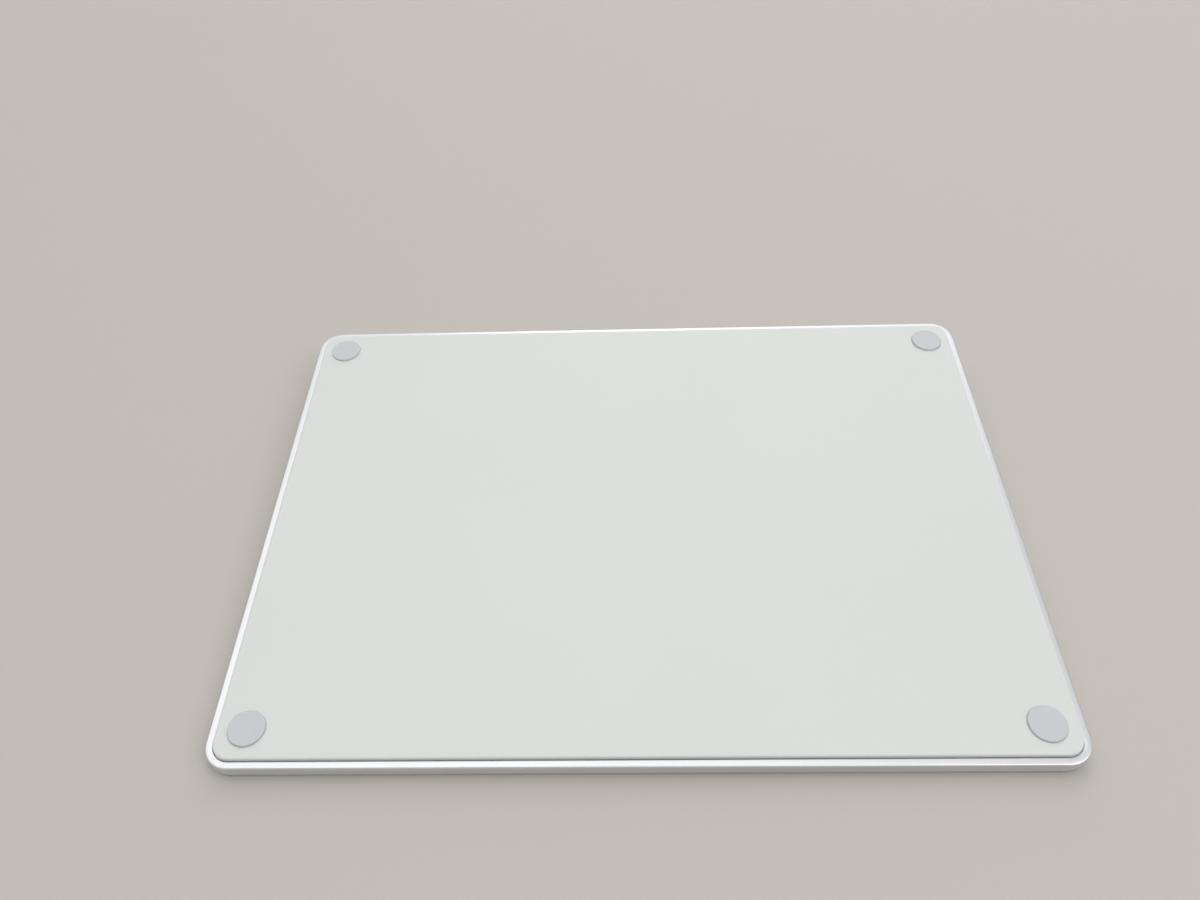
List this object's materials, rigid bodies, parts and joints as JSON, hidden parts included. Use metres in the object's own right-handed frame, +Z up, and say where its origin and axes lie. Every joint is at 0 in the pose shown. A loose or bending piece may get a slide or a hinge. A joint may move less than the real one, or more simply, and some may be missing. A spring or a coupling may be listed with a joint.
{
  "type": "trackpad",
  "caption": "Slim wireless wedge trackpad: an aluminium tray with a sprung glass touch plate, haptic actuator, battery, charging port, power slide and a footed white bottom cover.",
  "frame": {"origin": "middle of the outline, on the plane of the four feet", "axes": "+X to the user's right along the long side, +Y to the thick rear edge, +Z up to the touch glass"},
  "size_m": [0.16, 0.115, 0.0109],
  "materials": {
    "anodised_aluminium": "bead-blasted and clear anodised, satin",
    "white_polycarbonate": "fine satin moulding, white",
    "grey_elastomer": "smooth light-grey elastomer",
    "white_glass": "etched satin face over an opaque white back coat",
    "dark_adhesive": "dark foam tape",
    "pale_adhesive": "stretch-release tape",
    "battery_foil": "laminated pouch foil",
    "circuit_board": "solder mask",
    "amber_flex": "polyimide film",
    "black_resin": "moulded resin",
    "dark_connector": "moulded connector plastic",
    "bright_steel": "plated sheet steel",
    "screw_steel": "zinc-plated steel",
    "spring_steel": "rolled spring steel",
    "ivory_plastic": "moulded antenna plastic",
    "gilt_foil": "gold-plated copper foil",
    "core_iron": "stacked iron sheet",
    "copper_wire": "enamelled copper winding",
    "green_plastic": "green inlay"
  },
  "bodies": {
    "housing": {"housing_frame": "anodised_aluminium", "bottom_cover": "white_polycarbonate", "cover_adhesive": "dark_adhesive", "foot_front_left": "grey_elastomer", "foot_front_right": "grey_elastomer", "foot_rear_left": "grey_elastomer", "foot_rear_right": "grey_elastomer", "battery_cell": "battery_foil", "battery_pads": "pale_adhesive", "battery_guard_board": "circuit_board", "battery_lead": "amber_flex", "logic_board": "circuit_board", "logic_chips": "black_resin", "radio_shield": "bright_steel", "cable_connectors": "dark_connector", "logic_screws": "screw_steel", "port_shell": "bright_steel", "port_tongue": "black_resin", "switch_body": "black_resin", "antenna_carrier": "ivory_plastic", "antenna_foil": "gilt_foil", "actuator_base": "spring_steel", "actuator_core": "core_iron", "actuator_coils": "copper_wire", "actuator_screws": "screw_steel", "actuator_cable": "amber_flex", "sensor_cable": "amber_flex", "flexure_screws": "screw_steel"},
    "suspension": {"flexure_front_left": "spring_steel", "flexure_front_right": "spring_steel", "flexure_rear_left": "spring_steel", "flexure_rear_right": "spring_steel", "strain_gauges": "amber_flex"},
    "touch_plate": {"touch_glass": "white_glass", "sensor_board": "circuit_board", "touch_chips": "black_resin", "sensor_connector": "dark_connector", "stiffener_plate": "spring_steel", "armature": "core_iron", "tab_spacers": "screw_steel", "tab_screws": "screw_steel"},
    "power_switch": {"power_knob": "anodised_aluminium", "power_carrier": "black_resin", "power_mark": "green_plastic"}
  },
  "joints": [
    {"name": "haptic_shift", "type": "slide", "parent": "housing", "child": "suspension", "axis": [1, 0, 0], "range_m": [-0.00015, 0.00015], "stiffness_N_per_m": 15000, "deforming": ["flexure_front_left", "flexure_front_right", "flexure_rear_left", "flexure_rear_right"]},
    {"name": "press", "type": "slide", "parent": "suspension", "child": "touch_plate", "axis": [0, -0.0521, 0.9986], "range_m": [-0.00025, 0], "stiffness_N_per_m": 20000, "springref_m": 0.00006, "deforming": ["flexure_front_left", "flexure_front_right", "flexure_rear_left", "flexure_rear_right"]},
    {"name": "power_slide", "type": "slide", "parent": "housing", "child": "power_switch", "axis": [1, 0, 0], "range_m": [0, 0.003]}
  ]
}
